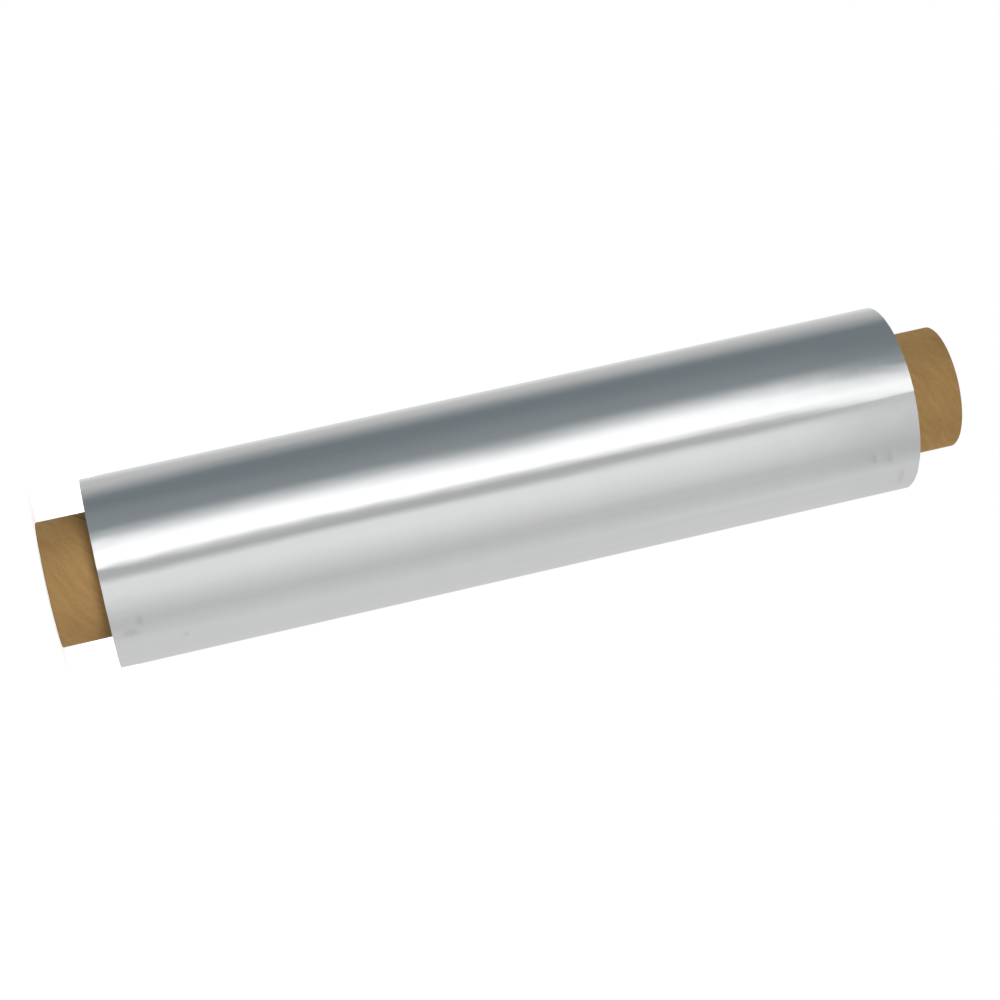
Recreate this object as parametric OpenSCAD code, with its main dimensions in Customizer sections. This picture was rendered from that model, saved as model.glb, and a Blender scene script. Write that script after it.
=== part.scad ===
// Aluminium foil roll: a wide foil sheet wound on a spiral cardboard core that stands out at both ends.
// Millimetres. The roll stands on the lower end of its core, with its axis along +Z and its origin
// at the middle of the core's lower end.

/* [Foil winding] */
// Width of the foil sheet, which is the length of the winding
foil_w = 300; // [200:1:450]
// Thickness of foil wound on the core, from the core to the free edge of the sheet
build_up = 12; // [6:0.25:32]
// How far the free edge of the last turn stands off the turn below it
free_edge_step = 0.3; // [0.1:0.05:0.6]
// Direction in which the free edge lies, counter-clockwise from +X in degrees
free_edge_angle = -88; // [-180:1:180]

/* [Turns on the end faces] */
// Distance between neighbouring turns that show on an end face
turn_pitch = 1.2; // [1:0.05:2]
// Depth of the hollow between two of these turns
turn_depth = 0.4; // [0.2:0.05:0.8]
// Width of that hollow at the end face
turn_gap = 0.5; // [0.3:0.05:0.8]

/* [Core tube] */
// Outside diameter of the core, which the first turn of foil lies on
core_od = 46; // [40:0.5:52]
// Thickness of the core's wall
core_wall = 4; // [3:0.25:6]
// Length of core that stands out below the winding
core_below = 18.5; // [8:0.5:40]
// Length of core that stands out above the winding
core_above = 21.5; // [8:0.5:40]
// How far the tight winding presses the core in under it
core_squeeze = 0.25; // [0.25:0.05:0.5]
// Width of the bevel that the cutter leaves round each edge of the core's ends
cut_bevel = 0.3; // [0.1:0.05:0.8]

/* [Core plies] */
// Width of the paper strip that each ply is wound from
strip_w = 75; // [50:1:95]
// Thickness of one ply, which is the depth of an open seam
ply_t = 0.5; // [0.3:0.05:0.8]
// Width of the seam between neighbouring turns of a strip
seam_w = 0.6; // [0.3:0.05:1.2]
// Turn of the outer ply's seam about the axis, counter-clockwise in degrees
outer_seam_angle = 130; // [0:10:350]
// How far round the inner ply's seam is staggered from the outer one, in degrees
seam_stagger = 180; // [90:10:270]

/* [Hidden] */

winding_top = core_below + foil_w;
core_l = winding_top + core_above;
core_r = core_od / 2;
bore_r = core_r - core_wall;
squeezed_r = core_r - core_squeeze;
foil_r = core_r + build_up;

// The last turn is drawn with two half circles on two centres. Each is half of free_edge_step
// larger in radius than the one before it, so they meet smoothly on the far side.
wrap_shift = free_edge_step / 2;
wrap_r = foil_r - 1.5 * wrap_shift;

// The turns on the end faces follow the same rule with the pitch of the turns.
turn_shift = turn_pitch / 2;
turn_margin = turn_gap / 2 + 0.3;
first_turn_r = core_r + turn_shift / 2 + turn_margin;
last_turn_r = foil_r - turn_shift / 2 - free_edge_step - turn_margin;
half_turns = 1 + floor((last_turn_r - first_turn_r) / turn_shift);

// A ply's seam climbs so that the edges of its strip meet side by side.
seam_slope = asin(strip_w / (PI * core_od));
seam_lead = PI * core_od * tan(seam_slope);
seam_height = seam_w / cos(seam_slope);
seam_steps_per_turn = 36;
ring_start = 0.35;

// How far a cutting shape runs past the face it opens
past = 1;
round_fn = 180;

foil_colour = [0.80, 0.81, 0.83];
card_colour = [0.62, 0.48, 0.29];

// Half circles laid end to end on two centres, which make up a spiral that winds outwards
// counter-clockwise from free_edge_angle. The child is a half turn of radius $half_r.
module spiral(count, start_r, shift) {
    rotate([0, 0, free_edge_angle])
        for (i = [0 : count - 1]) {
            $half_r = start_r + i * shift;
            side = i % 2 == 0 ? 1 : -1;
            translate([-side * shift / 2, 0, 0])
                rotate([0, 0, side > 0 ? 0 : 180])
                    children();
        }
}

// Hollow of one half turn, cut into an end face that looks up at height 0
module turn_hollow() {
    flare = (turn_depth + past) / turn_depth * turn_gap / 2;
    rotate_extrude(angle = 180, $fn = round_fn)
        polygon([[$half_r, -turn_depth], [$half_r + flare, past], [$half_r - flare, past]]);
}

// The outer surface, with a step along the free edge of the sheet
module last_turn() {
    spiral(2, wrap_r, wrap_shift)
        rotate_extrude(angle = 180, $fn = round_fn)
            square([$half_r, foil_w]);
}

module foil_winding() {
    color(foil_colour)
        translate([0, 0, core_below])
            difference() {
                last_turn();
                translate([0, 0, -past])
                    cylinder(r = squeezed_r, h = foil_w + 2 * past, $fn = round_fn);
                translate([0, 0, foil_w])
                    spiral(half_turns, first_turn_r, turn_shift) turn_hollow();
                mirror([0, 0, 1])
                    spiral(half_turns, first_turn_r, turn_shift) turn_hollow();
            }
}

// One ring of a seam's bar: its four corners at an angle along the helix
function seam_ring(angle, r_low, r_high) = [
    for (corner = [[r_low, -1], [r_high, -1], [r_high, 1], [r_low, 1]])
        [
            corner[0] * cos(angle),
            corner[0] * sin(angle),
            seam_lead * angle / 360 + corner[1] * seam_height / 2
        ]
];

// A bar wound along a ply's seam, from below the core to above it. Its rings start part of a step
// off the +X direction, so that none lies on the line where the round surfaces close, nor on a
// plane through the axis at a multiple of 22.5 degrees.
module seam_bar(r_low, r_high) {
    run = core_l + 2 * seam_height + 2 * past;
    rings = ceil(run / seam_lead * seam_steps_per_turn);
    step = 360 / seam_steps_per_turn;
    points = [for (i = [0 : rings]) each seam_ring((i + ring_start) * step, r_low, r_high)];
    sides = [
        for (i = [0 : rings - 1], j = [0 : 3])
            each [
                [4 * i + j, 4 * i + (j + 1) % 4, 4 * (i + 1) + j],
                [4 * i + (j + 1) % 4, 4 * (i + 1) + (j + 1) % 4, 4 * (i + 1) + j]
            ]
    ];
    ends = [[3, 2, 1, 0], [4 * rings, 4 * rings + 1, 4 * rings + 2, 4 * rings + 3]];
    translate([0, 0, -seam_height - past])
        polyhedron(points = points, faces = concat(sides, ends));
}

module core_tube() {
    color(card_colour)
        difference() {
            rotate_extrude($fn = round_fn)
                polygon([
                    [bore_r + cut_bevel, 0],
                    [core_r - cut_bevel, 0],
                    [core_r, cut_bevel],
                    [core_r, core_below],
                    [squeezed_r, core_below],
                    [squeezed_r, winding_top],
                    [core_r, winding_top],
                    [core_r, core_l - cut_bevel],
                    [core_r - cut_bevel, core_l],
                    [bore_r + cut_bevel, core_l],
                    [bore_r, core_l - cut_bevel],
                    [bore_r, cut_bevel]
                ]);
            rotate([0, 0, outer_seam_angle])
                seam_bar(core_r - ply_t, core_r + past);
            rotate([0, 0, outer_seam_angle + seam_stagger])
                seam_bar(bore_r - past, bore_r + ply_t);
        }
}

foil_winding();
core_tube();
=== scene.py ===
"""Aluminium foil roll: its looks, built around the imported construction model.

The roll stands on the lower end of its core, along +Z, and the camera is rolled so that it lies
across the picture. The last turn of foil is a thin sheet wound round the turns below it, with a
loose free edge. The core is wound from strips of kraft board whose seams climb round it.
"""

from __future__ import annotations

import logging
import math
from collections.abc import Iterable, Mapping
from dataclasses import dataclass
from enum import Enum

import bmesh
import bpy
from mathutils import Matrix, Vector, noise


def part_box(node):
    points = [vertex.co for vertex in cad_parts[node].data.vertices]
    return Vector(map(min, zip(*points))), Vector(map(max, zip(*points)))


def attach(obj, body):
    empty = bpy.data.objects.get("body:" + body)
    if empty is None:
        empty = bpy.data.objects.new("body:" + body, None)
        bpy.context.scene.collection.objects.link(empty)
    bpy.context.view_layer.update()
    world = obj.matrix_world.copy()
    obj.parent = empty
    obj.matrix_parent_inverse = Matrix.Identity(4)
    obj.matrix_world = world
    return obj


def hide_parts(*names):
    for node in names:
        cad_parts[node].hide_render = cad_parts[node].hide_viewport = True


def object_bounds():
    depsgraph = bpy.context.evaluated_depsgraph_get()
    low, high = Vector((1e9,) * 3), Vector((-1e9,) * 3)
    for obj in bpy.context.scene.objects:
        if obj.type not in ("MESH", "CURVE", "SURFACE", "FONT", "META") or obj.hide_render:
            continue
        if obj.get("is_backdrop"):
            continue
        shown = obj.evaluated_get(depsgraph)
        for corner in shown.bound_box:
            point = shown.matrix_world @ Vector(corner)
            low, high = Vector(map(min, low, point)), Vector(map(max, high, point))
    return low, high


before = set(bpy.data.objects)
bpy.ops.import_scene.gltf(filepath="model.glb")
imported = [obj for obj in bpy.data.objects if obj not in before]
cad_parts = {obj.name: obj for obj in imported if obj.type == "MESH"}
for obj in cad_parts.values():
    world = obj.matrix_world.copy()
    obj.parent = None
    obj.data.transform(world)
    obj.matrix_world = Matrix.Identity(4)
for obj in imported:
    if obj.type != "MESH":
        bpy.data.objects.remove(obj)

logging.basicConfig(level=logging.INFO, format="%(message)s")
LOG = logging.getLogger("foil_roll")

MM = 0.001
TURN = math.tau
TO_DEGREES = 360 / TURN
ORIGIN = (0.0, 0.0, 0.0)
UP = (0.0, 0.0, 1.0)
BODY = "root"
# The mesh attribute of the press marks, whose foil is rubbed rougher and darkened by painted shade
SCUFF_AND_SHADE = "scuff_and_shade"
# Points nearer to each other than this, in metres, are merged.
MERGE = 1e-7
# A point within this of an edge or a face, in metres, lies on it.
ON_IT = 1e-5
# A face is a cut end where its normal leans along the axis by more than this.
END_LEAN = 0.6
# Edges that turn by more than this stay sharp, unless a piece has an angle of its own.
SHARP_DEG = 50.0
# Places in the noise that are read for one purpose each
TORN_EDGE_SEED = 3.7
SHEET_SIDE_SEED = 1.3
SHEET_SIDES_APART = 5.0

Colour = tuple[float, float, float, float]
Source = bpy.types.NodeSocket | float | tuple[float, ...]


class Node(Enum):
    """The construction model's pieces that this script dresses."""

    WINDING = "foil_winding"
    CORE = "core_tube"


class Slot(Enum):
    """Names for the material slots."""

    FOIL = "foil"
    BOARD = "core_board"


@dataclass(frozen=True)
class RollSizes:
    """Where the construction model's pieces lie, in metres."""

    winding_low: float
    winding_high: float
    winding_radius: float
    core_low: float
    core_high: float
    core_radius: float

    @classmethod
    def from_frame(cls) -> RollSizes:
        """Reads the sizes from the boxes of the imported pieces.

        Returns:
            The sizes that every piece of this scene is built to.
        """
        low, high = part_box(Node.WINDING.value)
        core_low, core_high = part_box(Node.CORE.value)
        return cls(
            winding_low=low[2],
            winding_high=high[2],
            winding_radius=max(-low[0], -low[1], high[0], high[1]),
            core_low=core_low[2],
            core_high=core_high[2],
            core_radius=core_high[0],
        )

    @property
    def foil_width(self) -> float:
        """The width of the foil sheet."""
        return self.winding_high - self.winding_low


def smooth(low: float, high: float, value: float) -> float:
    """A smooth step, which is 0 where the value is low and 1 where it is high."""
    share = min(max((value - low) / (high - low), 0.0), 1.0)
    return share * share * (3 - 2 * share)


def polar(point: Vector) -> tuple[float, float, float]:
    """A point's distance from the axis, its angle about it from 0 to a full turn, and its height."""
    return math.hypot(point.x, point.y), math.atan2(point.y, point.x) % TURN, point.z


def on_roll(radius: float, angle: float, height: float) -> Vector:
    """The point at a radius, angle and height about the roll's axis."""
    return Vector((radius * math.cos(angle), radius * math.sin(angle), height))


def noise_share(at: Vector) -> float:
    """Smooth noise at a place, from 0 to 1."""
    return 0.5 + 0.5 * noise.noise(at)


def closed_loop(bm: bmesh.types.BMesh, points: Iterable[Vector]) -> list[bmesh.types.BMEdge]:
    """Joins points by a closed loop of edges, of which the first joins the first two points."""
    corners = [bm.verts.new(point) for point in points]
    return [bm.edges.new(pair) for pair in zip(corners, corners[1:] + corners[:1])]


def spin_round(bm: bmesh.types.BMesh, steps: int) -> None:
    """Spins a section once round the roll's axis into a closed shape.

    Args:
        bm: The mesh, whose edges are the section.
        steps: How many faces lie round the turn.
    """
    bmesh.ops.spin(
        bm, geom=bm.edges[:], cent=ORIGIN, axis=UP, angle=TURN, steps=steps, use_merge=True
    )


def finished_piece(
    name: str, bm: bmesh.types.BMesh, sharp_deg: float = SHARP_DEG
) -> bpy.types.Object:
    """Makes an object from a mesh in progress, shaded smooth but for its sharp edges.

    Args:
        name: The piece's name.
        bm: The mesh, which is freed.
        sharp_deg: Edges that turn by more than this stay sharp.

    Returns:
        The new object, at the origin.
    """
    bmesh.ops.remove_doubles(bm, verts=bm.verts, dist=MERGE)
    bmesh.ops.recalc_face_normals(bm, faces=bm.faces)
    mesh = bpy.data.meshes.new(name)
    bm.to_mesh(mesh)
    bm.free()
    mesh.shade_smooth()
    mesh.set_sharp_from_angle(angle=math.radians(sharp_deg))
    piece = bpy.data.objects.new(name, mesh)
    bpy.context.scene.collection.objects.link(piece)
    return piece


def place_piece(piece: bpy.types.Object, node: Node) -> None:
    """Lets a piece stand for a construction piece and ride with the roll.

    Args:
        piece: The finished piece.
        node: The construction piece that it stands for.
    """
    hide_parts(node.value)
    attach(piece, BODY)
    LOG.info("%s: %d faces", piece.name, len(piece.data.polygons))


@dataclass(frozen=True)
class Dent:
    """A place where the last turn of foil is pressed in.

    It lies at a height and faces a direction about the axis. Along and across are how far it
    reaches along the roll and round it. Its last value, from 0 to 1, is how much its foil is
    rubbed rougher and darkened by painted shade.
    """

    height: float
    facing_deg: float
    along: float
    across: float
    depth: float
    # How much the mark's foil is rubbed rougher and darkened by painted shade, from 0 to 1
    scuff_and_shade: float = 1.0

    def share(self, angle: float, height: float, radius: float) -> float:
        """How much of the mark lies at a place.

        Args:
            angle: Angle about the roll's axis.
            height: Height along it.
            radius: The roll's radius there.

        Returns:
            1 at the middle of the mark, falling away to 0.
        """
        off = (angle - math.radians(self.facing_deg) + math.pi) % TURN - math.pi
        across = off * radius / self.across
        along = (height - self.height) / self.along
        return math.exp(-(across * across + along * along))


@dataclass
class LastTurn:
    """The outermost turn of the sheet, wound on as a spiral that ends in the free edge."""

    sizes: RollSizes
    # The spiral, the drawn thickness of the sheet, and its slanting free edge with small tears
    free_edge_step: float = 0.3 * MM
    sheet: float = 0.04 * MM
    edge_low_deg: float = -87.6
    edge_high_deg: float = -90.6
    tear_deg: float = 0.35
    tears: float = 9.0
    # How far the turn starts under its own free edge, and how that edge lifts
    tuck_deg: float = 9.0
    lift_run_deg: float = 5.0
    lift: float = 0.04 * MM
    # The grid that the sheet starts as, whose rows crowd towards its sides
    around: int = 300
    along: int = 156
    crowding: float = 0.6
    # Soft ripples, and finer ones that grow near the ends of the winding
    ripple: float = 0.030 * MM
    ripple_width_deg: float = 7.0
    ripple_length: float = 70 * MM
    fine_ripples: float = 1.7
    fine_length: float = 9 * MM
    fine_share: float = 0.3
    fine_gain_at_ends: float = 1.1
    end_band: float = 14 * MM
    # How far the sheet's sides wander off the ends of the winding
    side_wander: float = 0.12 * MM
    side_waves: float = 6.0
    # Small press marks near both ends, and one broad hollow in the middle
    dents: tuple[Dent, ...] = (
        Dent(28.8 * MM, -57.0, 0.9 * MM, 1.9 * MM, 0.10 * MM),
        Dent(25.0 * MM, -50.5, 2.4 * MM, 1.5 * MM, 0.12 * MM),
        Dent(43.4 * MM, -38.0, 0.8 * MM, 1.0 * MM, 0.06 * MM),
        Dent(300.9 * MM, -53.5, 0.9 * MM, 1.7 * MM, 0.10 * MM),
        Dent(306.9 * MM, -52.0, 1.0 * MM, 2.2 * MM, 0.12 * MM),
        Dent(312.4 * MM, -31.0, 1.1 * MM, 4.6 * MM, 0.14 * MM),
        Dent(168.7 * MM, -118.0, 28.0 * MM, 6.9 * MM, 0.24 * MM, scuff_and_shade=0.0),
    )

    @property
    def start_radius(self) -> float:
        """Radius of the turn's outside where it starts, with room for its ripples."""
        return self.sizes.winding_radius - self.free_edge_step - self.ripple / 2

    def edge_angle(self, share: float) -> float:
        """Angle of the free edge at a share of the sheet's width, in radians.

        Args:
            share: 0 on the lower side of the sheet and 1 on the upper.

        Returns:
            The angle about the axis, which wanders a little as a torn edge does.
        """
        lean = self.edge_low_deg + (self.edge_high_deg - self.edge_low_deg) * share
        wander = self.tear_deg * noise.noise(Vector((share * self.tears, TORN_EDGE_SEED, 0.0)))
        return math.radians(lean + wander)

    def radius(self, turned: float, before_edge: float) -> float:
        """Outside radius at a share of a full turn, some degrees before the sheet's free edge."""
        lift = self.lift * smooth(self.lift_run_deg, 0.0, before_edge)
        return self.start_radius + (self.free_edge_step - self.lift) * turned + lift

    def ripples(self, angle: float, height: float) -> float:
        """How far the sheet stands off its true spiral.

        Args:
            angle: Angle about the roll's axis.
            height: Height along it.

        Returns:
            The distance in metres, with more fine ripples near both ends of the winding.
        """
        low, high = self.sizes.winding_low, self.sizes.winding_high
        near_end = max(
            smooth(low + self.end_band, low, height), smooth(high - self.end_band, high, height)
        )
        width = math.radians(self.ripple_width_deg)
        at = Vector((math.cos(angle) / width, math.sin(angle) / width, height / self.ripple_length))
        soft = noise.noise(at) * self.ripple
        closer = Vector(
            (at.x * self.fine_ripples, at.y * self.fine_ripples, height / self.fine_length)
        )
        fine = noise.noise(closer) * self.ripple
        return soft + fine * (self.fine_share + self.fine_gain_at_ends * near_end)

    def side_offset(self, angle: float, share: float) -> float:
        """How far the lower side of the sheet, share 0, or the upper, share 1, wanders upwards."""
        at = Vector((angle * self.side_waves, share * SHEET_SIDES_APART, SHEET_SIDE_SEED))
        return self.side_wander * noise.noise(at)

    def sheet_share(self, even: float) -> float:
        """Moves a row of an even grid, from 0 to 1, towards the nearer side, where the marks are."""
        return even - self.crowding * math.sin(TURN * even) / TURN

    def build(self) -> bpy.types.Object:
        """Winds a flat sheet round the roll and gives it its thickness.

        Returns:
            The finished sheet.
        """
        bm = bmesh.new()
        bmesh.ops.create_grid(bm, x_segments=self.around, y_segments=self.along, size=0.5)
        # Press marks sink the sheet and leave a mask, by which the foil finish makes it rougher and
        # paints shade on it
        scuff_and_shade = bm.verts.layers.float.new(SCUFF_AND_SHADE)
        sizes = self.sizes
        tuck = math.radians(self.tuck_deg)
        middle = self.edge_angle(0.5)
        for vert in bm.verts:
            share = self.sheet_share(vert.co.y + 0.5)
            end = self.edge_angle(share)
            start = middle - tuck
            angle = start + (vert.co.x + 0.5) * (end + TURN - start)
            height = sizes.winding_low + share * sizes.foil_width
            radius = self.radius((angle - middle) / TURN, math.degrees(end + TURN - angle))
            radius += self.ripples(angle, height)
            for dent in self.dents:
                pressed = dent.share(angle, height, radius)
                radius -= dent.depth * pressed
                vert[scuff_and_shade] = max(vert[scuff_and_shade], dent.scuff_and_shade * pressed)
            if min(share, 1 - share) * sizes.foil_width < ON_IT:
                height += self.side_offset(angle, share)
            vert.co = on_roll(min(radius, sizes.winding_radius), angle, height)
        bmesh.ops.recalc_face_normals(bm, faces=bm.faces)
        if sum(f.normal.dot(f.calc_center_median().xy.to_3d()) for f in bm.faces) < 0:
            bmesh.ops.reverse_faces(bm, faces=bm.faces)
        bmesh.ops.solidify(bm, geom=bm.faces[:], thickness=self.sheet)
        return finished_piece("foil_last_turn", bm)


@dataclass
class WoundTurns:
    """All the turns under the last one, with the spiral of their edges on both end faces."""

    sizes: RollSizes
    # Room for the last turn and its ripples, with a waist under it that no view shows
    free_edge_step: float = 0.3 * MM
    last_turn_room: float = 0.13 * MM
    waist_depth: float = 0.3 * MM
    waist_run: float = 4 * MM
    # The spiral of turns on the end faces, with fine unevenness between them
    free_edge_deg: float = -88.0
    turn_pitch: float = 1.2 * MM
    turn_gap: float = 0.5 * MM
    turn_depth: float = 0.4 * MM
    first_turn_radius: float = 23.55 * MM
    fine_depth: float = 0.05 * MM
    fine_spacing: float = 0.45 * MM
    around: int = 240
    rings: int = 84

    @property
    def bore_radius(self) -> float:
        """Radius of the first turn, which lies on the core."""
        return self.sizes.core_radius

    @property
    def outside_radius(self) -> float:
        """Radius that the last turn lies on."""
        return self.sizes.winding_radius - self.free_edge_step - self.last_turn_room

    def hollow(self, radius: float, angle: float) -> float:
        """Depth of an end face below its turns' edges.

        Args:
            radius: Distance from the axis.
            angle: Angle about it.

        Returns:
            The depth in metres, in grooves that wind outwards by one pitch a turn.
        """
        turned = ((angle - math.radians(self.free_edge_deg)) % TURN) / TURN
        lap = (radius - self.first_turn_radius) / self.turn_pitch - turned
        off = abs(lap - round(lap)) * self.turn_pitch
        inside = max(0.0, 1 - off / (self.turn_gap / 2))
        at_rim = smooth(self.outside_radius, self.outside_radius - self.turn_gap, radius)
        at_core = smooth(self.bore_radius, self.bore_radius + self.turn_gap, radius)
        fine = noise_share(Vector((radius / self.fine_spacing, math.cos(angle), math.sin(angle))))
        return (self.turn_depth * inside + self.fine_depth * fine) * at_rim * at_core

    def build(self) -> bpy.types.Object:
        """Spins the winding's section and presses the turns into its end faces.

        Returns:
            The finished winding.
        """
        sizes = self.sizes
        waist = self.outside_radius - self.waist_depth
        bm = bmesh.new()
        section = (
            (self.bore_radius, sizes.winding_low),
            (self.outside_radius, sizes.winding_low),
            (waist, sizes.winding_low + self.waist_run),
            (waist, sizes.winding_high - self.waist_run),
            (self.outside_radius, sizes.winding_high),
            (self.bore_radius, sizes.winding_high),
        )
        low_end, _, _, _, high_end, _ = closed_loop(bm, (on_roll(r, 0.0, z) for r, z in section))
        bmesh.ops.subdivide_edges(bm, edges=[low_end, high_end], cuts=self.rings - 1)
        spin_round(bm, self.around)
        for vert in bm.verts:
            radius, angle, height = polar(vert.co)
            if abs(height - sizes.winding_low) < ON_IT:
                vert.co.z += self.hollow(radius, angle)
            elif abs(height - sizes.winding_high) < ON_IT:
                vert.co.z -= self.hollow(radius, angle)
        return finished_piece("foil_wound_turns", bm)


class PlySide(Enum):
    """Which face of the core's wall a ply lies on."""

    OUTER = "outer"
    INNER = "inner"


@dataclass
class CoreTube:
    """The core, glued up from strips of kraft board wound at a slant."""

    sizes: RollSizes
    wall: float = 4.0 * MM
    ply: float = 0.5 * MM
    cut_bevel: float = 0.3 * MM
    # The strips of the outer and inner ply, and the open seams between their turns
    strip_width: float = 75 * MM
    seam: float = 0.6 * MM
    outer_seam_foot_deg: float = 137.0
    seam_stagger_deg: float = 180.0
    # The rings of the plies on the cut ends, and the roughness between them
    ply_line: float = 0.07 * MM
    steps_per_ply: int = 4
    rough_share: float = 0.5
    rough_spacing: float = 1.1 * MM
    around: int = 144
    sharp_deg: float = 35.0

    @property
    def bore_radius(self) -> float:
        """Radius of the core's bore."""
        return self.sizes.core_radius - self.wall

    @property
    def seam_slope(self) -> float:
        """Slope of the seams, in radians, at which a strip's edges meet side by side."""
        return math.asin(self.strip_width / (TURN * self.sizes.core_radius))

    @property
    def seam_lead(self) -> float:
        """How far a seam climbs in one turn."""
        return TURN * self.sizes.core_radius * math.tan(self.seam_slope)

    def wall_body(self) -> bmesh.types.BMesh:
        """The middle plies, whose edges show as fine rings on the cut ends.

        Returns:
            A closed tube.
        """
        sizes = self.sizes
        bm = bmesh.new()
        inner, outer = self.bore_radius + self.ply, sizes.core_radius - self.ply
        section = (
            (inner, sizes.core_low),
            (outer, sizes.core_low),
            (outer, sizes.core_high),
            (inner, sizes.core_high),
        )
        low_end, _, high_end, _ = closed_loop(bm, (on_roll(r, 0.0, z) for r, z in section))
        steps = self.steps_per_ply * round((outer - inner) / self.ply)
        bmesh.ops.subdivide_edges(bm, edges=[low_end, high_end], cuts=steps - 1)
        spin_round(bm, self.around)
        middle = (sizes.core_low + sizes.core_high) / 2
        for vert in bm.verts:
            radius, _, height = polar(vert.co)
            lap = (radius - inner) / self.ply
            line = 1 - min(abs(lap - round(lap)) * self.steps_per_ply, 1)
            rough = noise_share(vert.co / self.rough_spacing)
            depth = self.ply_line * (line + self.rough_share * rough)
            vert.co.z += depth if height < middle else -depth
        return bm

    def strip(self, side: PlySide) -> bmesh.types.BMesh:
        """One strip wound the whole length of the core, cut square at both ends.

        Args:
            side: The face of the wall that the strip lies on.

        Returns:
            A closed band with an open seam between its turns.
        """
        sizes = self.sizes
        outer = side is PlySide.OUTER
        inside = sizes.core_radius - self.ply if outer else self.bore_radius
        outside = sizes.core_radius if outer else self.bore_radius + self.ply
        angle = math.radians(self.outer_seam_foot_deg + (0 if outer else self.seam_stagger_deg))
        gap = self.seam / math.cos(self.seam_slope)
        start = sizes.core_low - 2 * self.seam_lead + gap / 2
        band = self.seam_lead - gap
        section = ((inside, 0.0), (outside, 0.0), (outside, band), (inside, band))
        bm = bmesh.new()
        loop = closed_loop(bm, (on_roll(r, angle, start + z) for r, z in section))
        turns = math.ceil((sizes.core_high - start) / self.seam_lead) + 1
        bmesh.ops.spin(
            bm,
            geom=loop,
            cent=ORIGIN,
            axis=UP,
            dvec=(0, 0, self.seam_lead / self.around),
            angle=TURN * turns,
            steps=self.around * turns,
        )
        for height, direction in ((sizes.core_low, -1), (sizes.core_high, 1)):
            cut = bmesh.ops.bisect_plane(
                bm,
                geom=bm.verts[:] + bm.edges[:] + bm.faces[:],
                plane_co=(0, 0, height),
                plane_no=(0, 0, direction),
                clear_outer=True,
            )
            rim = [e for e in cut["geom_cut"] if isinstance(e, bmesh.types.BMEdge)]
            bmesh.ops.edgeloop_fill(bm, edges=rim)
        if outer:
            self.bevel_rims(bm, outside, -self.cut_bevel)
        else:
            self.bevel_rims(bm, inside, self.cut_bevel)
        return bm

    def bevel_rims(self, bm: bmesh.types.BMesh, face_radius: float, bevel: float) -> None:
        """Takes the sharp rims off a strip's cut ends, as the cutter does.

        Args:
            bm: The strip.
            face_radius: Radius of the face whose rims are bevelled.
            bevel: How far that radius changes at the very end, in metres.
        """
        sizes = self.sizes
        for end, inwards in ((sizes.core_low, 1), (sizes.core_high, -1)):
            bmesh.ops.bisect_plane(
                bm,
                geom=bm.verts[:] + bm.edges[:] + bm.faces[:],
                plane_co=(0, 0, end + inwards * self.cut_bevel),
                plane_no=UP,
            )
            for vert in bm.verts:
                radius, angle, height = polar(vert.co)
                if abs(height - end) < ON_IT and abs(radius - face_radius) < ON_IT:
                    vert.co = on_roll(radius + bevel, angle, height)

    def build(self) -> bpy.types.Object:
        """Lays the strips on the wall and joins them.

        Returns:
            The finished core.
        """
        whole = self.wall_body()
        for side in PlySide:
            part = self.strip(side)
            mesh = bpy.data.meshes.new(f"{side.value}_strip")
            part.to_mesh(mesh)
            part.free()
            whole.from_mesh(mesh)
            bpy.data.meshes.remove(mesh)
        return finished_piece("core_board", whole, self.sharp_deg)


class Pattern(Enum):
    """The patterns that several finishes share, each kept as a node group."""

    AROUND_AXIS = "around_axis"
    GRAIN = "grain"


@dataclass(frozen=True)
class Grain:
    """A noise: its cells per unit along each axis, its octaves, and how strong the finer are."""

    cells: tuple[float, float, float]
    detail: float = 2.0
    rough: float = 0.5


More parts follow.
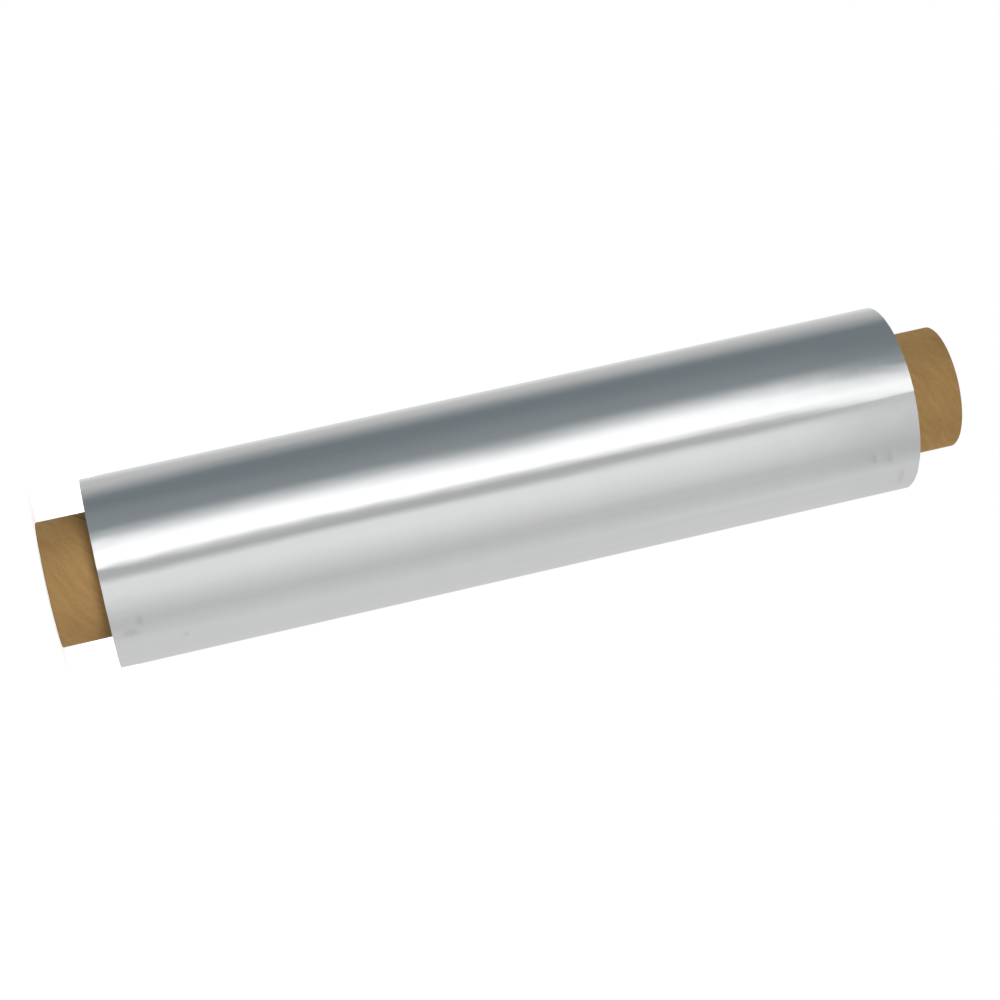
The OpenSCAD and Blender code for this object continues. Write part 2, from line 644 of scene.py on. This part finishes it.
class NodeBench:
    """Adds and wires shader nodes in one tree."""

    def __init__(self, tree: bpy.types.NodeTree) -> None:
        """Starts on a tree, whose nodes are cleared."""
        self.tree = tree
        tree.nodes.clear()

    def add(self, kind: str, **settings: object) -> bpy.types.Node:
        """Adds a node.

        Args:
            kind: The node's type.
            **settings: Its attributes, such as operation.

        Returns:
            The new node.
        """
        node = self.tree.nodes.new(kind)
        for name, value in settings.items():
            setattr(node, name, value)
        return node

    def feed(self, socket: bpy.types.NodeSocket, source: Source) -> None:
        """Links an output into an input socket, or sets a plain value on it.

        Args:
            socket: The input socket.
            source: An output socket, a number, a vector or a colour.
        """
        if isinstance(source, bpy.types.NodeSocket):
            self.tree.links.new(source, socket)
        else:
            socket.default_value = source

    def math(self, operation: str, *inputs: Source, clamp: bool = False) -> bpy.types.NodeSocket:
        """Adds a Math node.

        Args:
            operation: The node's operation.
            *inputs: Its inputs, sockets or numbers.
            clamp: Whether the result is kept between 0 and 1.

        Returns:
            Its result.
        """
        node = self.add("ShaderNodeMath", operation=operation, use_clamp=clamp)
        for socket, source in zip(node.inputs, inputs):
            self.feed(socket, source)
        return node.outputs[0]

    def vector(self, operation: str, *inputs: Source) -> bpy.types.Node:
        """Adds a Vector Math node.

        Args:
            operation: The node's operation.
            *inputs: Its inputs, sockets or vectors.

        Returns:
            The node.
        """
        node = self.add("ShaderNodeVectorMath", operation=operation)
        for socket, source in zip(node.inputs, inputs):
            self.feed(socket, source)
        return node

    def ease(
        self, value: Source, low: float, high: float, out_low: float = 0.0, out_high: float = 1.0
    ) -> bpy.types.NodeSocket:
        """Adds a smooth step from out_low at low to out_high at high.

        Args:
            value: The socket to read.
            low: Where the step starts.
            high: Where it ends.
            out_low: Result below low.
            out_high: Result above high.

        Returns:
            The eased value.
        """
        node = self.add("ShaderNodeMapRange", interpolation_type="SMOOTHSTEP")
        for name, source in zip(
            ("Value", "From Min", "From Max", "To Min", "To Max"),
            (value, low, high, out_low, out_high),
        ):
            self.feed(node.inputs[name], source)
        return node.outputs["Result"]

    def mix(self, share: Source, first: Source, second: Source) -> bpy.types.NodeSocket:
        """Mixes two colours.

        Args:
            share: How much of the second colour shows.
            first: The first colour.
            second: The second colour.

        Returns:
            The mixed colour.
        """
        node = self.add("ShaderNodeMix", data_type="RGBA")
        # The node's sockets for numbers and for colours share their names, so they go by place.
        for place, source in ((0, share), (6, first), (7, second)):
            self.feed(node.inputs[place], source)
        return node.outputs[2]

    def place(self) -> bpy.types.NodeSocket:
        """Object coordinates, which are metres in the roll's own frame."""
        return self.add("ShaderNodeTexCoord").outputs["Object"]

    def group(self, pattern: Pattern) -> bpy.types.Node:
        """Adds the node group of a shared pattern."""
        return self.add("ShaderNodeGroup", node_tree=bpy.data.node_groups[pattern.value])

    def grain(self, vector: bpy.types.NodeSocket, grain: Grain) -> bpy.types.NodeSocket:
        """Adds the shared grain.

        Args:
            vector: The coordinates that it lies on.
            grain: Its values.

        Returns:
            The noise value, from 0 to 1.
        """
        node = self.group(Pattern.GRAIN)
        for name, source in zip(
            ("Vector", "Cells", "Detail", "Roughness"),
            (vector, grain.cells, grain.detail, grain.rough),
        ):
            self.feed(node.inputs[name], source)
        return node.outputs["Grain"]


def new_material(name: str) -> tuple[bpy.types.Material, NodeBench, bpy.types.Node]:
    """Starts a material with a Principled BSDF.

    Args:
        name: The material's name.

    Returns:
        The material, a bench on its tree, and the shader.
    """
    material = bpy.data.materials.new(name)
    material.use_nodes = True
    bench = NodeBench(material.node_tree)
    shader = bench.add("ShaderNodeBsdfPrincipled")
    out = bench.add("ShaderNodeOutputMaterial")
    bench.feed(out.inputs["Surface"], shader.outputs["BSDF"])
    return material, bench, shader


def bumped(
    bench: NodeBench, shader: bpy.types.Node, height: bpy.types.NodeSocket, depth: float
) -> None:
    """Feeds a height into a shader's normal.

    Args:
        bench: The material's bench.
        shader: Its Principled BSDF.
        height: The height, from 0 to 1.
        depth: The depth in metres that 1 stands for.
    """
    bump = bench.add("ShaderNodeBump")
    bump.inputs["Strength"].default_value = 1.0
    bump.inputs["Distance"].default_value = depth
    bench.feed(bump.inputs["Height"], height)
    bench.feed(shader.inputs["Normal"], bump.outputs["Normal"])


def dress(piece: bpy.types.Object, materials: Iterable[bpy.types.Material]) -> None:
    """Puts materials in a piece's slots.

    Args:
        piece: The piece.
        materials: Its materials, in the order of the slots.
    """
    piece.data.materials.clear()
    for material in materials:
        piece.data.materials.append(material)


class Socket(Enum):
    """The kinds of socket that a node group has."""

    NUMBER = "NodeSocketFloat"
    VECTOR = "NodeSocketVector"


def pattern_group(
    pattern: Pattern, inputs: Mapping[str, Socket], outputs: Mapping[str, Socket]
) -> tuple[NodeBench, bpy.types.Node, bpy.types.Node]:
    """Starts a node group.

    Args:
        pattern: The pattern, whose value names the group.
        inputs: The names and kinds of its inputs.
        outputs: The names and kinds of its outputs.

    Returns:
        A bench on the group's tree, its input node and its output node.
    """
    tree = bpy.data.node_groups.new(pattern.value, "ShaderNodeTree")
    for side, sockets in (("INPUT", inputs), ("OUTPUT", outputs)):
        for name, kind in sockets.items():
            tree.interface.new_socket(name, in_out=side, socket_type=kind.value)
    bench = NodeBench(tree)
    return bench, bench.add("NodeGroupInput"), bench.add("NodeGroupOutput")


class SharedPatterns:
    """The node groups that several finishes are made with."""

    def around_axis(self) -> None:
        """Builds a place's distance from the axis, and coordinates that run in rings about it."""
        bench, given, out = pattern_group(
            Pattern.AROUND_AXIS,
            {"Vector": Socket.VECTOR},
            {"Radius": Socket.NUMBER, "Rings": Socket.VECTOR},
        )
        flat = bench.vector("MULTIPLY", given.outputs["Vector"], (1.0, 1.0, 0.0)).outputs["Vector"]
        radius = bench.vector("LENGTH", flat).outputs["Value"]
        facing = bench.add("ShaderNodeSeparateXYZ")
        bench.feed(facing.inputs["Vector"], bench.vector("NORMALIZE", flat).outputs["Vector"])
        rings = bench.add("ShaderNodeCombineXYZ")
        for axis, source in zip("XYZ", (radius, facing.outputs["X"], facing.outputs["Y"])):
            bench.feed(rings.inputs[axis], source)
        bench.feed(out.inputs["Radius"], radius)
        bench.feed(out.inputs["Rings"], rings.outputs["Vector"])

    def grain(self) -> None:
        """Builds the noise behind every line, streak, fibre and mottle."""
        bench, given, out = pattern_group(
            Pattern.GRAIN,
            {
                "Vector": Socket.VECTOR,
                "Cells": Socket.VECTOR,
                "Detail": Socket.NUMBER,
                "Roughness": Socket.NUMBER,
            },
            {"Grain": Socket.NUMBER},
        )
        stretched = bench.vector("MULTIPLY", given.outputs["Vector"], given.outputs["Cells"])
        texture = bench.add("ShaderNodeTexNoise")
        texture.inputs["Scale"].default_value = 1.0
        bench.feed(texture.inputs["Vector"], stretched.outputs["Vector"])
        for name in ("Detail", "Roughness"):
            bench.feed(texture.inputs[name], given.outputs[name])
        bench.feed(out.inputs["Grain"], texture.outputs[0])

    def build(self) -> None:
        """Builds both groups."""
        self.around_axis()
        self.grain()


@dataclass(frozen=True)
class FoilFinish:
    """Bright rolled foil: fine rolling lines run round the roll, soft streaks run along it."""

    name: str = "bright_foil"
    tint: Colour = (0.98, 0.985, 0.99, 1.0)
    rough: float = 0.07
    rough_spread: float = 0.08
    anisotropy: float = 0.35
    anisotropy_turn: float = 0.25
    lines: Grain = Grain((14.0, 14.0, 1100.0), 3.0, 0.65)
    line_depth: float = 0.0024 * MM
    bands: Grain = Grain((6.0, 6.0, 90.0))
    band_share: float = 0.4
    streaks: Grain = Grain((260.0, 260.0, 5.0))
    streak_share: float = 0.6
    uneven: float = 0.7
    # Press marks: more roughness from rubbing, and a darker tint that is painted shade
    dent_shade_tint: Colour = (0.83, 0.835, 0.84, 1.0)
    scuff_rough: float = 0.12

    def make(self) -> bpy.types.Material:
        """Builds the material.

        Returns:
            The foil material.
        """
        material, bench, shader = new_material(self.name)
        place = bench.place()
        mixed = bench.math("MULTIPLY", bench.grain(place, self.streaks), self.streak_share)
        bands = bench.grain(place, self.bands)
        mixed = bench.math("MULTIPLY_ADD", bands, self.band_share, mixed)
        # Press marks are rougher, and their colour is darkened: painted shade of the marks
        scuff_and_shade = bench.add("ShaderNodeAttribute", attribute_name=SCUFF_AND_SHADE).outputs["Fac"]
        worn_and_shaded = bench.math("MULTIPLY_ADD", mixed, self.uneven, scuff_and_shade, clamp=True)
        bench.feed(shader.inputs["Base Color"], bench.mix(worn_and_shaded, self.tint, self.dent_shade_tint))
        shader.inputs["Metallic"].default_value = 1.0
        rough = bench.math("MULTIPLY_ADD", mixed, self.rough_spread, self.rough)
        rough = bench.math("MULTIPLY_ADD", scuff_and_shade, self.scuff_rough, rough)
        bench.feed(shader.inputs["Roughness"], rough)
        shader.inputs["Anisotropic"].default_value = self.anisotropy
        shader.inputs["Anisotropic Rotation"].default_value = self.anisotropy_turn
        bumped(bench, shader, bench.grain(place, self.lines), self.line_depth)
        return material


@dataclass(frozen=True)
class FoilEdgeFinish:
    """The edges of several hundred turns side by side: greyer metal in very fine rings."""

    name: str = "foil_edges"
    light: Colour = (0.84, 0.845, 0.85, 1.0)
    dark: Colour = (0.44, 0.45, 0.46, 1.0)
    tones: tuple[float, float] = (0.34, 0.62)
    rough: float = 0.40
    rough_fall: float = 0.12
    turns: Grain = Grain((5200.0, 3.0, 3.0), 3.0, 0.75)
    turn_depth: float = 0.05 * MM

    def make(self) -> bpy.types.Material:
        """Builds the material.

        Returns:
            The material of the winding's end faces.
        """
        material, bench, shader = new_material(self.name)
        axis = bench.group(Pattern.AROUND_AXIS)
        bench.feed(axis.inputs["Vector"], bench.place())
        turns = bench.grain(axis.outputs["Rings"], self.turns)
        colour = bench.mix(bench.ease(turns, *self.tones), self.dark, self.light)
        bench.feed(shader.inputs["Base Color"], colour)
        shader.inputs["Metallic"].default_value = 1.0
        rough = bench.math("MULTIPLY_ADD", turns, -self.rough_fall, self.rough)
        bench.feed(shader.inputs["Roughness"], rough)
        bumped(bench, shader, turns, self.turn_depth)
        return material


@dataclass(frozen=True)
class BoardFinish:
    """Brown kraft board: matt and mottled, with fibres that lie along the wound strips."""

    strip_lead: float
    name: str = "kraft_board"
    light: Colour = (0.62, 0.390, 0.158, 1.0)
    dark: Colour = (0.44, 0.252, 0.091, 1.0)
    fleck: Colour = (0.23, 0.121, 0.046, 1.0)
    mottle: Grain = Grain((210.0, 210.0, 170.0), 5.0, 0.66)
    mottle_share: float = 0.50
    fibres: Grain = Grain((2400.0, 2400.0, 1300.0), 3.0, 0.7)
    fibre_share: float = 0.42
    fibre_depth: float = 0.03 * MM
    streaks: Grain = Grain((900.0, 900.0, 130.0))
    streak_share: float = 0.08
    tones: tuple[float, float] = (0.24, 0.78)
    flecks: Grain = Grain((1300.0, 1300.0, 700.0), 1.0)
    fleck_run: tuple[float, float] = (0.70, 0.78)
    fleck_strength: float = 0.5
    rough: float = 0.88
    specular: float = 0.35

    def along_strip(self, bench: NodeBench) -> bpy.types.NodeSocket:
        """Adds coordinates whose Z runs along the slant of the wound strips.

        Args:
            bench: The material's bench.

        Returns:
            Object coordinates, turned back by one turn for each lead of height.
        """
        place = bench.place()
        split = bench.add("ShaderNodeSeparateXYZ")
        bench.feed(split.inputs["Vector"], place)
        unwind = bench.add("ShaderNodeVectorRotate", rotation_type="Z_AXIS")
        bench.feed(unwind.inputs["Vector"], place)
        wound = bench.math("MULTIPLY", split.outputs["Z"], -TURN / self.strip_lead)
        bench.feed(unwind.inputs["Angle"], wound)
        return unwind.outputs["Vector"]

    def make(self) -> bpy.types.Material:
        """Builds the material.

        Returns:
            The board material.
        """
        material, bench, shader = new_material(self.name)
        strip = self.along_strip(bench)
        fibres = bench.grain(strip, self.fibres)
        share = bench.math("MULTIPLY", bench.grain(strip, self.mottle), self.mottle_share)
        share = bench.math("MULTIPLY_ADD", fibres, self.fibre_share, share)
        streaks = bench.grain(strip, self.streaks)
        share = bench.math("MULTIPLY_ADD", streaks, self.streak_share, share)
        colour = bench.mix(bench.ease(share, *self.tones), self.dark, self.light)
        flecks = bench.grain(strip, self.flecks)
        flecks = bench.ease(flecks, *self.fleck_run, out_high=self.fleck_strength)
        bench.feed(shader.inputs["Base Color"], bench.mix(flecks, colour, self.fleck))
        shader.inputs["Roughness"].default_value = self.rough
        shader.inputs["Specular IOR Level"].default_value = self.specular
        bumped(bench, shader, fibres, self.fibre_depth)
        return material


@dataclass(frozen=True)
class CutBoardFinish:
    """The sawn end of the core, where each ply shows as a ring with a ragged joint to the next."""

    bore_radius: float
    ply: float
    name: str = "cut_board"
    light: Colour = (0.60, 0.40, 0.18, 1.0)
    dark: Colour = (0.30, 0.17, 0.062, 1.0)
    fuzz: Grain = Grain((1500.0, 1500.0, 1500.0), 3.0, 0.7)
    fuzz_share: float = 0.5
    fuzz_depth: float = 0.09 * MM
    rings: Grain = Grain((2600.0, 5.0, 5.0), 2.0, 0.6)
    ring_share: float = 0.55
    tones: tuple[float, float] = (0.34, 0.72)
    joint_ragged: float = 0.12
    joint_run: tuple[float, float] = (0.05, 0.17)
    joint_shade: float = 0.75
    joint_depth: float = 0.6
    rough: float = 0.95
    specular: float = 0.2

    def make(self) -> bpy.types.Material:
        """Builds the material.

        Returns:
            The material of the core's end faces.
        """
        material, bench, shader = new_material(self.name)
        place = bench.place()
        axis = bench.group(Pattern.AROUND_AXIS)
        bench.feed(axis.inputs["Vector"], place)
        fuzz = bench.grain(place, self.fuzz)
        lap = bench.math("SUBTRACT", axis.outputs["Radius"], self.bore_radius)
        lap = bench.math("DIVIDE", lap, self.ply)
        ragged = bench.math("MULTIPLY_ADD", fuzz, 2 * self.joint_ragged, -self.joint_ragged)
        off = bench.math("PINGPONG", bench.math("ADD", lap, ragged), 0.5)
        joint = bench.ease(off, *self.joint_run, out_low=1.0, out_high=0.0)
        rings = bench.grain(axis.outputs["Rings"], self.rings)
        tone = bench.math("MULTIPLY", fuzz, self.fuzz_share)
        tone = bench.math("MULTIPLY_ADD", rings, self.ring_share, tone)
        colour = bench.mix(bench.ease(tone, *self.tones), self.dark, self.light)
        colour = bench.mix(bench.math("MULTIPLY", joint, self.joint_shade), colour, self.dark)
        bench.feed(shader.inputs["Base Color"], colour)
        shader.inputs["Roughness"].default_value = self.rough
        shader.inputs["Specular IOR Level"].default_value = self.specular
        height = bench.math("MULTIPLY_ADD", joint, -self.joint_depth, fuzz)
        bumped(bench, shader, height, self.fuzz_depth)
        return material


def dress_ends(
    piece: bpy.types.Object, sides: bpy.types.Material, ends: bpy.types.Material
) -> None:
    """Puts a material on a piece, and another on the faces that look along the roll's axis.

    Args:
        piece: The piece.
        sides: The material of its round sides.
        ends: The material of its cut ends.
    """
    dress(piece, [sides, ends])
    for polygon in piece.data.polygons:
        polygon.material_index = int(abs(polygon.normal.z) > END_LEAN)


@dataclass(frozen=True)
class StudioCard:
    """One card of the tent round the roll, from its first edge to the next card's.

    Directions are in degrees about the roll's axis: 0 is towards the camera, positive towards +X.
    The edge is bent towards +X by low_bend near the floor and by high_bend further up, where
    high_level, if it is given, takes the place of the card's level.
    """

    name: str
    edge: float
    softness: float
    level: float
    tint: tuple[float, float, float] = (1.0, 1.0, 1.0)
    low_bend: float = 0.0
    high_bend: float = 0.0
    high_level: float | None = None

    def colour(self, level: float) -> Colour:
        """The card's light at a level, in its tint."""
        return tuple(level * part for part in self.tint) + (1.0,)


@dataclass(frozen=True)
class PhotoView:
    """The photograph's camera, fitted to the outlines of the roll."""

    eye: tuple[float, float, float] = (0.0, -0.8645, 0.0382)
    forward: tuple[float, float, float] = (0.00638, 0.98918, 0.14657)
    up: tuple[float, float, float] = (-0.97591, -0.02580, 0.21663)
    lens: float = 85.25
    sensor: float = 36.0
    clip: tuple[float, float] = (0.05, 50.0)

    def make(self) -> None:
        """Sets up the scene's camera."""
        forward = Vector(self.forward).normalized()
        right = forward.cross(Vector(self.up)).normalized()
        up = right.cross(forward)
        data = bpy.data.cameras.new("photo_camera")
        data.lens = self.lens
        data.sensor_width = self.sensor
        data.clip_start, data.clip_end = self.clip
        camera = bpy.data.objects.new("photo_camera", data)
        turn = Matrix((right, up, -forward)).transposed()
        camera.matrix_world = Matrix.Translation(self.eye) @ turn.to_4x4()
        bpy.context.scene.collection.objects.link(camera)
        bpy.context.scene.camera = camera


@dataclass(frozen=True)
class Lamp:
    """A square soft light that looks at the roll's axis, and that the foil doesn't mirror."""

    name: str
    place: tuple[float, float, float]
    size: float
    power: float
    aim_height: float = 0.17
    spread_deg: float = 180.0

    def make(self) -> None:
        """Hangs the light."""
        data = bpy.data.lights.new(self.name, "AREA")
        data.shape = "SQUARE"
        data.size = self.size
        data.energy = self.power
        data.spread = math.radians(self.spread_deg)
        light = bpy.data.objects.new(self.name, data)
        light.location = self.place
        aim = Vector((0.0, 0.0, self.aim_height)) - light.location
        light.rotation_euler = aim.to_track_quat("-Z", "Y").to_euler()
        light.visible_glossy = False
        light.visible_camera = False
        bpy.context.scene.collection.objects.link(light)


@dataclass
class Studio:
    """A white sweep inside a tent of soft cards that the foil mirrors."""

    cards: tuple[StudioCard, ...] = (
        StudioCard("top_card", -180.0, 0.0, 0.77),
        StudioCard("top_shade", -153.5, 37.0, 0.505),
        StudioCard("blue_flag", -120.0, 40.0, 0.195, (0.86, 1.0, 1.07), low_bend=9.0),
        StudioCard("flag_fade", -76.0, 40.0, 0.258, (0.90, 1.0, 1.04), high_bend=14.0),
        StudioCard("softbox", -42.5, 35.0, 1.12, low_bend=4.0, high_bend=15.0, high_level=1.03),
        StudioCard("camera_gap", -9.5, 7.0, 0.43, low_bend=4.0, high_bend=6.5, high_level=0.56),
        StudioCard("table_near", 7.0, 12.0, 0.76, low_bend=3.0, high_bend=6.0, high_level=0.56),
        StudioCard("table_shade", 43.0, 52.0, 0.515, high_level=0.46),
        StudioCard("table_far", 83.0, 30.0, 0.61, high_level=0.585),
        StudioCard("back_wall", 171.0, 18.0, 0.80),
    )
    low_bend_heights: tuple[float, float] = (2.5, -1.5)
    high_bend_heights: tuple[float, float] = (16.3, 17.3)
    ceiling_heights: tuple[float, float] = (30.0, 62.0)
    ceiling_level: float = 0.70
    diffuse_share: float = 0.32
    floor_radius: float = 1.6
    floor_sides: int = 96
    floor_tint: Colour = (0.92, 0.92, 0.92, 1.0)
    floor_rough: float = 0.9
    floor_glow: tuple[float, float] = (0.50, 0.92)
    floor_glow_run: tuple[float, float] = (0.15, 0.75)
    lamps: tuple[Lamp, ...] = (
        Lamp("overhead", (0.0, -0.1, 1.7), 1.2, 5.0),
        Lamp("key", (0.10, -1.35, 0.25), 0.40, 1.15, aim_height=0.02, spread_deg=64.0),
        Lamp("back_left", (-1.10, 0.92, 0.60), 0.8, 12.0),
        Lamp("back_right", (1.10, 0.92, 0.60), 0.8, 12.0),
    )

    def tent(self, bench: NodeBench) -> bpy.types.NodeSocket:
        """Lays the cards side by side round the roll, under the ceiling.

        Args:
            bench: The world's bench.

        Returns:
            The tent's colour in the direction that is looked in.
        """
        split = bench.add("ShaderNodeSeparateXYZ")
        place = bench.add("ShaderNodeTexCoord")
        bench.feed(split.inputs["Vector"], place.outputs["Generated"])
        towards = bench.math("MULTIPLY", split.outputs["Y"], -1.0)
        turn = bench.math("ARCTAN2", split.outputs["X"], towards)
        turn = bench.math("MULTIPLY", turn, TO_DEGREES)
        height = bench.math("MULTIPLY", bench.math("ARCSINE", split.outputs["Z"]), TO_DEGREES)
        low = bench.ease(height, *self.low_bend_heights)
        high = bench.ease(height, *self.high_bend_heights)
        colour: Source = self.cards[0].colour(self.cards[0].level)
        for card in self.cards[1:]:
            at = turn
            for source, amount in ((low, card.low_bend), (high, card.high_bend)):
                if amount:
                    at = bench.math("MULTIPLY_ADD", source, -amount, at)
            own: Source = card.colour(card.level)
            if card.high_level is not None:
                own = bench.mix(high, own, card.colour(card.high_level))
            half = card.softness / 2
            colour = bench.mix(bench.ease(at, card.edge - half, card.edge + half), colour, own)
            colour.node.label = card.name
        ceiling = (self.ceiling_level, self.ceiling_level, self.ceiling_level, 1.0)
        return bench.mix(bench.ease(height, *self.ceiling_heights), colour, ceiling)

    def world(self) -> None:
        """Paints the tent on the world, and plain white for the camera."""
        world = bpy.data.worlds.new("studio_tent")
        bpy.context.scene.world = world
        world.use_nodes = True
        bench = NodeBench(world.node_tree)
        path = bench.add("ShaderNodeLightPath")
        diffuse = path.outputs["Is Diffuse Ray"]
        strength = bench.math("MULTIPLY_ADD", diffuse, self.diffuse_share - 1, 1.0)
        tent = bench.add("ShaderNodeBackground")
        bench.feed(tent.inputs["Color"], self.tent(bench))
        bench.feed(tent.inputs["Strength"], strength)
        white = bench.add("ShaderNodeBackground")
        white.inputs["Color"].default_value = (1.0, 1.0, 1.0, 1.0)
        pick = bench.add("ShaderNodeMixShader")
        bench.feed(pick.inputs["Fac"], path.outputs["Is Camera Ray"])
        # Both of the node's shader inputs have the same name, so they go by place.
        bench.feed(pick.inputs[1], tent.outputs["Background"])
        bench.feed(pick.inputs[2], white.outputs["Background"])
        out = bench.add("ShaderNodeOutputWorld")
        bench.feed(out.inputs["Surface"], pick.outputs["Shader"])

    def floor(self) -> None:
        """Lays the pale floor that the roll stands on."""
        bm = bmesh.new()
        bmesh.ops.create_circle(
            bm, cap_ends=True, segments=self.floor_sides, radius=self.floor_radius
        )
        floor = finished_piece("floor", bm)
        material, bench, shader = new_material("white_sweep")
        shader.inputs["Base Color"].default_value = self.floor_tint
        shader.inputs["Roughness"].default_value = self.floor_rough
        away = bench.vector("LENGTH", bench.place()).outputs["Value"]
        glow = bench.ease(away, *self.floor_glow_run, *self.floor_glow)
        bench.feed(shader.inputs["Emission Color"], glow)
        shader.inputs["Emission Strength"].default_value = 1.0
        dress(floor, [material])
        floor.visible_glossy = False
        floor.visible_diffuse = False
        floor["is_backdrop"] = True

    def build(self) -> None:
        """Sets up the camera, the tent, the floor and the lights."""
        PhotoView().make()
        self.world()
        self.floor()
        for lamp in self.lamps:
            lamp.make()
        bpy.context.scene.view_settings.view_transform = "Standard"
        LOG.info("studio: %d cards, %d lamps", len(self.cards), len(self.lamps))


def box_as_lists() -> list[list[float]]:
    """The shown object's box, as plain lists of numbers."""
    return [[float(c) for c in corner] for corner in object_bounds()]


def main() -> None:
    """Builds the roll and its studio."""
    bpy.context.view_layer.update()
    Studio().build()
    sizes = RollSizes.from_frame()
    core = CoreTube(sizes)
    SharedPatterns().build()
    foil = FoilFinish().make()
    edges = FoilEdgeFinish().make()
    board = BoardFinish(core.seam_lead).make()
    cut_board = CutBoardFinish(core.bore_radius, core.ply).make()

    last_turn = LastTurn(sizes).build()
    dress(last_turn, [foil])
    place_piece(last_turn, Node.WINDING)

    wound = WoundTurns(sizes).build()
    dress_ends(wound, foil, edges)
    place_piece(wound, Node.WINDING)

    tube = core.build()
    dress_ends(tube, board, cut_board)
    place_piece(tube, Node.CORE)

    LOG.info("visual box %s", box_as_lists())


if __name__ == "__main__":
    main()
